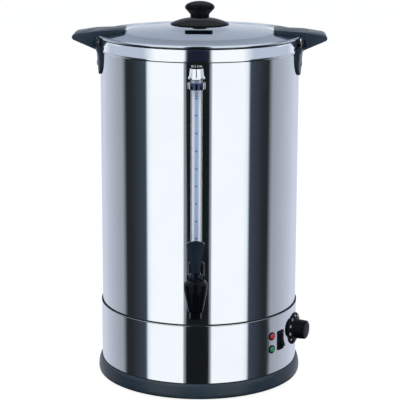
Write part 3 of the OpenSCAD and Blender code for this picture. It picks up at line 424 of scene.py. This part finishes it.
def makeLid():
    low, high = span("lid_pan")
    top, rim = high.z, high.x
    beadAt = (rim - lid["beadR"], low.z + lid["beadR"])
    openAt = math.radians(lid["beadOpen"])
    edgeR = beadAt[0] - lid["beadR"] * math.cos(openAt)
    edgeZ = beadAt[1] + lid["beadR"] * math.sin(openAt)
    crownR, drop = lid["crownR"], lid["crownDrop"]
    arcR = (crownR ** 2 + drop ** 2) / (2 * drop)

    def height(r):
        if r <= crownR:
            return top - (arcR - math.sqrt(arcR ** 2 - r ** 2))
        share = (r - crownR) / (edgeR - crownR)
        return top - drop - (top - drop - edgeZ) * math.sin(math.pi / 2 * share)

    rings = lid["rings"]
    radii = [crownR * i / rings for i in range(rings)]
    radii += [crownR + (edgeR - crownR) * i / rings for i in range(rings + 1)]
    face = [(r, height(r)) for r in radii]
    bead = arc(beadAt, lid["beadR"], 180 - lid["beadOpen"], -90, 16)
    seatR, sheetTop = span("lid_ring")[1].x - lid["seatIn"], low.z + lid["sheet"]
    under = [(seatR, low.z), (seatR, sheetTop), (edgeR - lid["edgeIn"], sheetTop)]
    inside = [(r, z - lid["sheet"]) for r, z in reversed(face[::6])]
    finished("lid_spun", turned(face[:-1] + bead + under + inside, lid["steps"]), "lid_pan")


makeLid()
print("lid: spun pan with its rolled bead")


# ---- rim band

rimBand = {"clear": 0.06, "edgeR": 0.9, "lowEdge": 3.2, "below": 0.9, "taper": 0.8, "rings": 8, "steps": 256}


def makeRimBand():
    # its face leans back a little, and its lower edge is rolled in to the wall
    low, high = span("rim_band")
    inner, outer, r = span("vessel")[1].x + rimBand["clear"], high.x, rimBand["edgeR"]
    thick, top, bottom = outer - inner, outer - rimBand["taper"], low.z - rimBand["below"]
    turns = [math.pi / 2 * i / 10 for i in range(11)]
    roll = [(inner + thick * math.sin(a), bottom + rimBand["lowEdge"] * (1 - math.cos(a))) for a in turns]
    first, last = Vector(roll[-1]), Vector((top, high.z - r))
    face = [first.lerp(last, i / rimBand["rings"]) for i in range(1, rimBand["rings"])]
    outline = roll + face + arc((top - r, high.z - r), r, 0, 90, 6) + [(inner, high.z)]
    finished("rim_band_rolled", turned(outline, rimBand["steps"], closed=True), "rim_band")


makeRimBand()
print("rim band: rolled edges")


# ---- edge of the housing, and dark rings of painted shade in the gaps above and below it

housingEdge = {"roll": 0.7, "rollDrop": 2.0, "steps": 256}
seamGapShade = {"out": 0.25, "tuck": 0.1, "below": 1.2, "above": 0.3, "slope": 0.5}
baseGapShade = {"out": 0.7, "tuck": 0.1, "below": 1, "outerTop": 0.6, "innerTop": 1.1}


def makeHousingEdge():
    wall, top = span("housing")[1].x, span("housing")[1].z
    roll = housingEdge["roll"]
    middle = (wall - roll * 0.5, top - housingEdge["rollDrop"])
    outline = arc(middle, roll, -90, 90, 12)
    finished("housing_edge", turned(outline, housingEdge["steps"], closed=True), "housing", replaces=False)


def makeSeamSeal():
    # a dark ring of painted shade in the seam between the vessel's wall and the housing's top
    wall, top = span("housing")[1].x, span("housing")[1].z
    inner, outer = span("vessel")[1].x - seamGapShade["tuck"], wall + seamGapShade["out"]
    low, high = top - seamGapShade["below"], top + seamGapShade["above"]
    outline = [(inner, low), (outer, low), (outer, top), (wall - seamGapShade["slope"], high), (inner, high)]
    finished("housing_seam_shade", turned(outline, housingEdge["steps"], closed=True), "housing",
             paints["seal_dark"], replaces=False)


def makeBaseSeal():
    # dark ring of painted shade where the housing stands in the base ring
    wall, ringTop = span("housing")[1].x, span("base_ring")[1].z
    inner, outer, low = wall - baseGapShade["tuck"], wall + baseGapShade["out"], ringTop - baseGapShade["below"]
    outline = [(inner, low), (outer, low), (outer, ringTop + baseGapShade["outerTop"]),
               (inner, ringTop + baseGapShade["innerTop"])]
    finished("base_seal", turned(outline, housingEdge["steps"], closed=True), "base_ring",
             paints["seal_dark"], replaces=False)


makeHousingEdge()
makeSeamSeal()
makeBaseSeal()
print("housing: rolled edge and seals")


# ---- moulded pieces: the CAD shape with its edges eased, by how much in millimetres

eased = {
    "base_ring": 0.5, "left_ear": 0.8, "right_ear": 0.8, "lid_knob": 0.5,
    "knob_saucer": 0.4, "steam_vent": 0.5, "tap_body": 0.5, "tap_bonnet": 0.5, "gauge_nut": 0.4,
    "gauge_bracket": 0.35, "dial_collar": 0.4, "dial_knob": 0.4, "switch_body": 0.4,
    "switch_rocker": 0.4, "lamp_bezels": 0.4, "red_lens": 0.35, "green_lens": 0.35, "cable_gland": 0.5,
    "rubber_feet": 0.6, "left_handle": 1.0, "right_handle": 1.0, "terminal_block": 0.5, "cutout_body": 0.4,
}

for node, width in eased.items():
    shape = copied(node)
    bevelSharp(shape, width)
    finished(node + "_eased", shape, node)
print("moulded pieces:", len(eased), "with eased edges")


# ---- tap lever

lever = {"rim": 1.7, "sink": 0.5, "ease": 0.5}


def makeLever():
    bm = copied("tap_lever")
    front = max((face for face in bm.faces if face.normal.y < -0.99), key=lambda face: face.calc_area())
    bmesh.ops.inset_region(bm, faces=[front], thickness=lever["rim"] * mm, depth=-lever["sink"] * mm,
                           use_even_offset=True)
    bevelSharp(bm, lever["ease"])
    finished("tap_lever_panelled", bm, "tap_lever")


makeLever()
print("tap lever: sunk panel on its face")


# ---- level gauge

gauge = {
    "wall": 1.9, "shell": 0.35, "ends": 2, "stripeWide": 6.0, "stripeSoft": 0.4,
    "firstMark": 255, "markStep": 25.6, "marks": 8, "topMarks": (458.8, 462.3, 466.0),
    "markHigh": 1.6, "markWide": 3.6, "printed": 0.08, "ink": 0.05,
}
gaugeCap = {
    # outlines as radius and drop below the cap's top
    "neckR": 8.8, "flats": 12, "corner": 0.7, "ease": 0.15, "uprightOver": 8,
    "sides": [(11.8, 19.2), (11.8, 17.4), (11.2, 16.6), (10.6, 16.2), (9.3, 5.2), (8.9, 4.8), (0, 4.8)],
    "plug": [(0, 1.6), (6.9, 1.6), (7.5, 2.3), (7.5, 4.9), (0, 4.9)],
    "studs": 12, "studR": 0.95, "studOut": 6.9, "studDrop": 2.0,
}


def scalePaint():
    # white enamel behind the glass with a blue-grey stripe
    paint = newPaint("gauge_enamel")
    aside = paint.axes()[0].maths("ABSOLUTE") / mm
    half, soft = gauge["stripeWide"] / 2, gauge["stripeSoft"]
    stripe = 1 - aside.rising(half - soft, half + soft)
    cloud = paint.noise(40, 2, (1, 1, 0.1))
    enamel = paint.mixed(stripe, tint(255, 255, 255), tint(140, 172, 212))
    return paint.end(paint.principled({"Base Color": paint.mixed(cloud * 0.15, enamel, tint(200, 210, 226)),
                                       "Roughness": 0.3 + 0.1 * cloud}))


def makeGaugeMarks():
    # level marks printed on the front of the tube
    low, high = span("gauge_tube")
    centre, tubeR = (low + high) / 2, (high.x - low.x) / 2
    paint = newPaint("gauge_print")
    wear = paint.noise(500, 2)
    blue = paint.mixed(wear * 0.3, tint(30, 72, 132), tint(60, 104, 160))
    ink = paint.end(paint.principled({"Base Color": blue, "Roughness": 0.4 + 0.1 * wear}))
    heights = [gauge["firstMark"] + gauge["markStep"] * i for i in range(gauge["marks"])]
    marks = bmesh.new()
    for height in heights + list(gauge["topMarks"]):
        made = bmesh.ops.create_grid(marks, x_segments=8, y_segments=1, size=0.5)
        for vert in made["verts"]:
            x = vert.co.x * gauge["markWide"]
            out = math.sqrt((tubeR + gauge["printed"]) ** 2 - x ** 2)
            vert.co = Vector((x, centre.y - out, height + vert.co.y * gauge["markHigh"])) * mm
    bmesh.ops.recalc_face_normals(marks, faces=marks.faces)
    bmesh.ops.solidify(marks, geom=marks.faces[:], thickness=gauge["ink"] * mm)
    finished("gauge_marks", marks, "gauge_tube", ink, replaces=False)


def makeGaugeStripe():
    # a half shell of enamel behind the glass, open to the front
    low, high = span("gauge_tube")
    centre = (low + high) / 2
    outer, bottom, top = (high.x - low.x) / 2 - gauge["wall"], low.z + gauge["ends"], high.z - gauge["ends"]
    inner = outer - gauge["shell"]
    bm = turned([(outer, bottom), (outer, top), (inner, top), (inner, bottom)], 48, closed=True)
    bmesh.ops.bisect_plane(bm, geom=bm.verts[:] + bm.edges[:] + bm.faces[:], plane_co=(0, 0, 0),
                           plane_no=(0, -1, 0), clear_outer=True, dist=weldDistance)
    bmesh.ops.holes_fill(bm, edges=[edge for edge in bm.edges if edge.is_boundary])
    bmesh.ops.translate(bm, verts=bm.verts, vec=(0, centre.y * mm, 0))
    finished("gauge_stripe", bm, "gauge_tube", scalePaint(), replaces=False)


def makeGaugeCap():
    # twelve-sided cap with a flange, and a ring of bright studs round its dark top
    low, high = span("gauge_cap")
    top = high.z
    axis = Vector((0, (low.y + high.y) / 2 * mm, 0))
    sides = [(0, low.z), (gaugeCap["neckR"], low.z)] + [(r, top - drop) for r, drop in gaugeCap["sides"]]
    cap = turned(sides, gaugeCap["flats"])
    bmesh.ops.translate(cap, verts=cap.verts, vec=axis)
    uprights = [edge for edge in cap.edges
                if abs(edge.verts[0].co.z - edge.verts[1].co.z) > gaugeCap["uprightOver"] * mm]
    bmesh.ops.bevel(cap, geom=uprights, offset=gaugeCap["corner"] * mm, affect="EDGES", segments=1,
                    profile=0.5, material=-1, clamp_overlap=False)
    bevelSharp(cap, gaugeCap["ease"])
    finished("gauge_cap_flats", cap, "gauge_cap")
    plug = turned([(r, top - drop) for r, drop in gaugeCap["plug"]], 48)
    bmesh.ops.translate(plug, verts=plug.verts, vec=axis)
    finished("gauge_cap_top", plug, "gauge_cap", paints["tap_black"], replaces=False)
    studs = bmesh.new()
    out, height = gaugeCap["studOut"], top - gaugeCap["studDrop"]
    for i in range(gaugeCap["studs"]):
        a = 2 * math.pi * (i + 0.5) / gaugeCap["studs"]
        made = bmesh.ops.create_icosphere(studs, subdivisions=2, radius=gaugeCap["studR"] * mm)
        place = Vector((out * math.cos(a), out * math.sin(a), height)) * mm
        bmesh.ops.translate(studs, verts=made["verts"], vec=place + axis)
    finished("gauge_cap_studs", studs, "gauge_cap", replaces=False)


makeGaugeStripe()
makeGaugeMarks()
makeGaugeCap()
print("level gauge: striped enamel, marks and cap")


# ---- dial numbers

# the dial's place is the part's own: its azimuth, its height, and its disc 7 mm off the housing's wall
dial = {"azimuth": 66.5, "height": 86.3, "out": 151.5 + 7, "first": 30, "last": 110, "step": 10, "sweep": 270,
        "size": 4.6, "at": 19.8, "slope": 23.3, "rise": 3.45, "thick": 0.12}


def makeDialNumbers():
    paint = newPaint("dial_ink")
    grain = paint.noise(900, 2)
    pale = paint.mixed(grain * 0.4, tint(206, 216, 228), tint(160, 174, 192))
    ink = paint.end(paint.principled({"Base Color": pale, "Roughness": 0.5}))
    whole = bmesh.new()
    values = range(dial["first"], dial["last"] + 1, dial["step"])
    for i, value in enumerate(values):
        curve = bpy.data.curves.new("number", "FONT")
        curve.body = str(value)
        curve.size = dial["size"] * mm
        curve.align_x = "CENTER"
        curve.align_y = "CENTER"
        curve.extrude = dial["thick"] * mm
        lettering = bpy.data.objects.new("number", curve)
        scene.collection.objects.link(lettering)
        bpy.context.view_layer.update()
        mesh = bpy.data.meshes.new_from_object(lettering)
        turn = -dial["sweep"] / 2 + dial["sweep"] * i / (len(values) - 1)
        mesh.transform(onWall(dial["azimuth"], dial["height"], dial["out"])
                       @ Matrix.Rotation(math.radians(-turn), 4, "Z")
                       @ Matrix.Translation((0, dial["at"] * mm, dial["rise"] * mm))
                       @ Matrix.Rotation(math.radians(-dial["slope"]), 4, "X"))
        whole.from_mesh(mesh)
        bpy.data.objects.remove(lettering)
        bpy.data.curves.remove(curve)
        bpy.data.meshes.remove(mesh)
    bmesh.ops.remove_doubles(whole, verts=whole.verts, dist=weldDistance)
    finished("dial_numbers", whole, "dial_knob", ink, replaces=False)


makeDialNumbers()
print("dial: numbers", dial["first"], "to", dial["last"])


# ---- light tent, floor, lamps and camera

tent = {"radius": 1.6, "low": -1.6, "shoulder": 2.2, "top": 3.0, "strength": 1.16,
        "ground": (-0.85, -0.6), "ring": (0.33, 0.345), "roof": (0.60, 0.64), "backDrop": 0.18}

# what stands round the object: a gap for the camera, then on each side a framed white softbox, a dark flag
# and a grey wall, placed and tinted so that the steel mirrors stripes like those in the photograph
panelTints = {"gap": tint(22, 26, 28), "frame": tint(130, 138, 142), "softbox": tint(246, 249, 250),
              "softEdge": tint(225, 236, 242), "flag": tint(60, 68, 80), "flagDark": tint(38, 42, 45),
              "wall": tint(150, 155, 163), "farWall": tint(198, 203, 217),
              "ringGap": tint(24, 30, 45), "ringWall": tint(182, 190, 206), "ringEnd": tint(238, 241, 246)}
# where each of them starts or ends, in degrees round from the front
leftSide = {"gap": 13, "softbox": 16, "softboxEnd": 57, "flag": 60, "flagDark": 80, "flagEnd": 88}
rightSide = {"gap": 12, "softbox": 15, "softboxEnd": 56, "flag": 59, "flagDark": 78, "flagEnd": 84}
edgeWide, wallRise, farWallFrom = 5, 7, 140

# a higher ring of panels, for the rim band, the same on both sides
ringPanels = [(12, "ringGap"), (15, "softbox"), (48, "softbox"), (62, "ringWall"), (115, "ringWall"),
              (132, "ringEnd")]

# the tent's roof: over the back by height in metres, and over the front by degrees round from it
backRoof = [(0.66, tint(236, 240, 246)), (0.74, tint(152, 164, 180)), (1.0, tint(150, 161, 176)),
            (1.8, tint(126, 128, 130)), (2.0, tint(246, 248, 251))]
frontRoof = [(12, tint(58, 66, 74)), (15, tint(240, 244, 250)), (60, tint(236, 240, 247)),
             (85, tint(186, 194, 208))]


def sidePanels(side):
    # the sharp edges of the frame and the softbox are 0.4 and 0.6 of a degree wide
    places = [(side["gap"], "gap"), (side["gap"] + 0.4, "frame"), (side["softbox"] - 0.6, "frame"),
              (side["softbox"], "softbox"), (side["softboxEnd"] - edgeWide, "softbox"),
              (side["softboxEnd"], "softEdge"), (side["flag"], "flag"), (side["flagDark"], "flagDark"),
              (side["flagEnd"], "flagDark"), (side["flagEnd"] + wallRise, "wall"), (farWallFrom, "farWall")]
    return [(at, panelTints[name]) for at, name in places]


def makeTent():
    paint = newPaint("tent_panels")
    x, y, z = paint.axes()
    turn = x.maths("ARCTAN2", y * -1).maths("ABSOLUTE") / math.pi

    def ramp(stops, whole, factor):
        shares = [(at / whole, colour) for at, colour in stops]
        return paint.node("ShaderNodeValToRGB", {"stops": shares}, {0: factor})

    left, right = ramp(sidePanels(leftSide), 180, turn), ramp(sidePanels(rightSide), 180, turn)
    ring = ramp([(at, panelTints[name]) for at, name in ringPanels], 180, turn)
    walls = paint.mixed(x.rising(-0.002, 0.002), left, right)
    walls = paint.mixed(z.rising(*tent["ground"]), panelTints["gap"], walls)
    walls = paint.mixed(z.rising(*tent["ring"]), walls, ring)
    back = y.rising(-0.3, 0.3)
    roof = paint.mixed(back, ramp(frontRoof, 180, turn), ramp(backRoof, tent["top"], z / tent["top"]))
    colour = paint.mixed((z + tent["backDrop"] * back).rising(*tent["roof"]), walls, roof)
    paint.end(paint.node("ShaderNodeEmission", {}, {"Color": colour, "Strength": tent["strength"]}))
    r, low, shoulder, top = (tent[key] / mm for key in ("radius", "low", "shoulder", "top"))
    turns = [math.pi / 2 * i / 8 for i in range(9)]
    dome = [(r * math.cos(a), shoulder + (top - shoulder) * math.sin(a)) for a in turns]
    bm = turned([(0, low), (r, low)] + dome, 128)
    smoothByAngle(bm)
    mesh = bpy.data.meshes.new("light_tent")
    bm.to_mesh(mesh)
    bm.free()
    mesh.materials.append(paint.owner)
    made = bpy.data.objects.new("light_tent", mesh)
    scene.collection.objects.link(made)
    made.visible_camera = made.visible_diffuse = made.visible_shadow = False
    made.visible_transmission = made.visible_volume_scatter = False


def seenDirectly(paint):
    # 1 for what the camera, metal or glass sees, 0 for light that falls on things
    rays = [paint.node("ShaderNodeLightPath", {}, {}, ray)
            for ray in ("Is Camera Ray", "Is Glossy Ray", "Is Transmission Ray")]
    return rays[0].maths("MAXIMUM", rays[1]).maths("MAXIMUM", rays[2])


floor = {"radius": 14.0, "glow": 0.82, "strength": 1.11}


def makeFloor():
    paint = newPaint("floor_white")
    matt = paint.node("ShaderNodeBsdfDiffuse", {}, {"Color": (0.92, 0.92, 0.92, 1)})
    glow = paint.node("ShaderNodeEmission", {}, {"Color": (1, 1, 1, 1), "Strength": floor["strength"]})
    share = paint.node("ShaderNodeLightPath", {}, {}, "Is Camera Ray") * floor["glow"]
    paint.end(paint.node("ShaderNodeMixShader", {}, {0: share, 1: matt, 2: glow}))
    bm = bmesh.new()
    bmesh.ops.create_circle(bm, cap_ends=True, radius=floor["radius"], segments=96)
    mesh = bpy.data.meshes.new("floor")
    bm.to_mesh(mesh)
    bm.free()
    mesh.materials.append(paint.owner)
    made = bpy.data.objects.new("floor", mesh)
    scene.collection.objects.link(made)
    made.visible_glossy = False


ambient = {"colour": tint(226, 232, 240), "strength": 0.62}


def makeWorld():
    world = bpy.data.worlds.new("studio")
    scene.world = world
    paint = Paint(world)
    colour = paint.mixed(seenDirectly(paint), ambient["colour"], (1, 1, 1, 1))
    strength = ambient["strength"] + (1 - ambient["strength"]) * seenDirectly(paint)
    glow = paint.node("ShaderNodeBackground", {}, {"Color": colour, "Strength": strength})
    paint.node("ShaderNodeOutputWorld", {}, {"Surface": glow})


lamps = {
    # place, size in metres, watts
    "key": ((-1.5, -2.0, 2.6), 1.8, 34),
    "fill": ((2.2, -1.6, 1.8), 1.6, 16),
    "back": ((0.6, 2.4, 2.2), 1.8, 18),
}


def makeLamps():
    for name, (place, size, watts) in lamps.items():
        light = bpy.data.lights.new(name, "AREA")
        light.shape = "DISK"
        light.size = size
        light.energy = watts
        made = bpy.data.objects.new(name, light)
        made.location = place
        made.rotation_euler = (Vector((0, 0, 0.3)) - Vector(place)).to_track_quat("-Z", "Y").to_euler()
        scene.collection.objects.link(made)


camera = {"place": (0.0601, -2.3583, 0.8222), "turn": 1.4334, "tilt": 76.851, "roll": 0.16, "lens": 141.28}


def makeCamera():
    data = bpy.data.cameras.new("camera")
    data.lens = camera["lens"]
    data.sensor_width = 36
    made = bpy.data.objects.new("camera", data)
    made.matrix_world = (Matrix.Translation(camera["place"])
                         @ Matrix.Rotation(math.radians(camera["turn"]), 4, "Z")
                         @ Matrix.Rotation(math.radians(camera["tilt"]), 4, "X")
                         @ Matrix.Rotation(math.radians(camera["roll"]), 4, "Z"))
    scene.collection.objects.link(made)
    scene.camera = made


# what the polished walls mirror: only the large pieces, a choice made for cleaner reflections
mirrored = ("vessel", "housing", "lid_pan", "lid_spun", "rim_band", "ear", "handle", "base_ring")


def clearMirrors():
    for shown in scene.objects:
        if shown.type == "MESH" and not any(word in shown.name for word in mirrored):
            shown.visible_glossy = False


clearMirrors()
makeTent()
makeFloor()
makeWorld()
makeLamps()
makeCamera()
scene.view_settings.view_transform = "Standard"
print("studio: tent, floor, lamps and camera")
